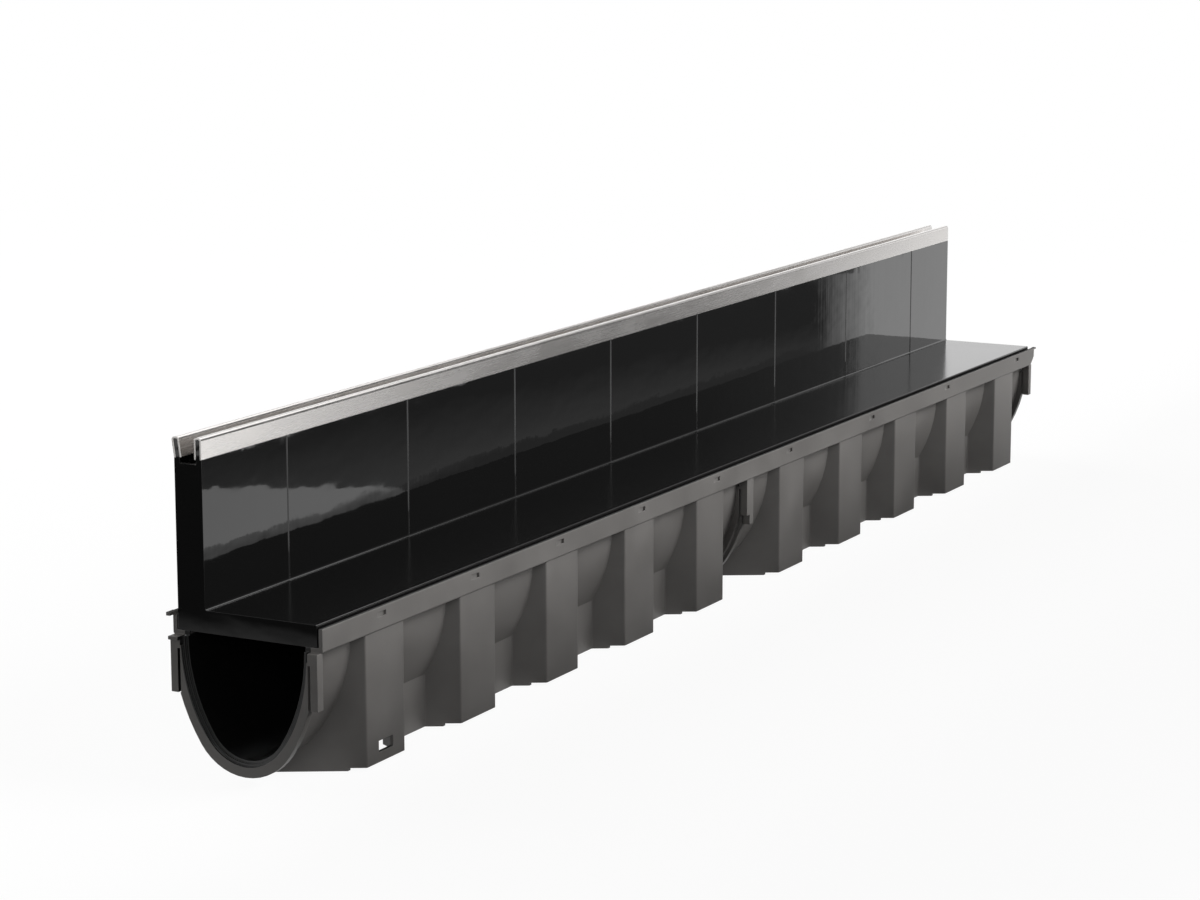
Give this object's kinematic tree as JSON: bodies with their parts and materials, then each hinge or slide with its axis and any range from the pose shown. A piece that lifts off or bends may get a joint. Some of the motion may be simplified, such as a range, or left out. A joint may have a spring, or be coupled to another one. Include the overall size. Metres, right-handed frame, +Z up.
{
  "type": "slot channel drain",
  "caption": "Straight drainage channel: moulded trough with folded hexagonal skirt and end collars, topped by an offset upright slot inlet with steel edge rails.",
  "frame": {"origin": "centre of the bounding box in plan, at the height of the skirt's foot", "axes": "+X along the channel from the collar end to the spigot end, +Y towards the side that carries the upright slot, +Z up"},
  "size_m": [1.01, 0.09, 0.174],
  "materials": {
    "channel_plastic": "fine moulded texture, charcoal black",
    "frame_plastic": "smooth moulded gloss, black",
    "rail_steel": "folded sheet, bright satin"
  },
  "bodies": {
    "root": {"channel_body": "channel_plastic", "slot_frame": "frame_plastic", "rail_front": "rail_steel", "rail_rear": "rail_steel"}
  },
  "joints": []
}
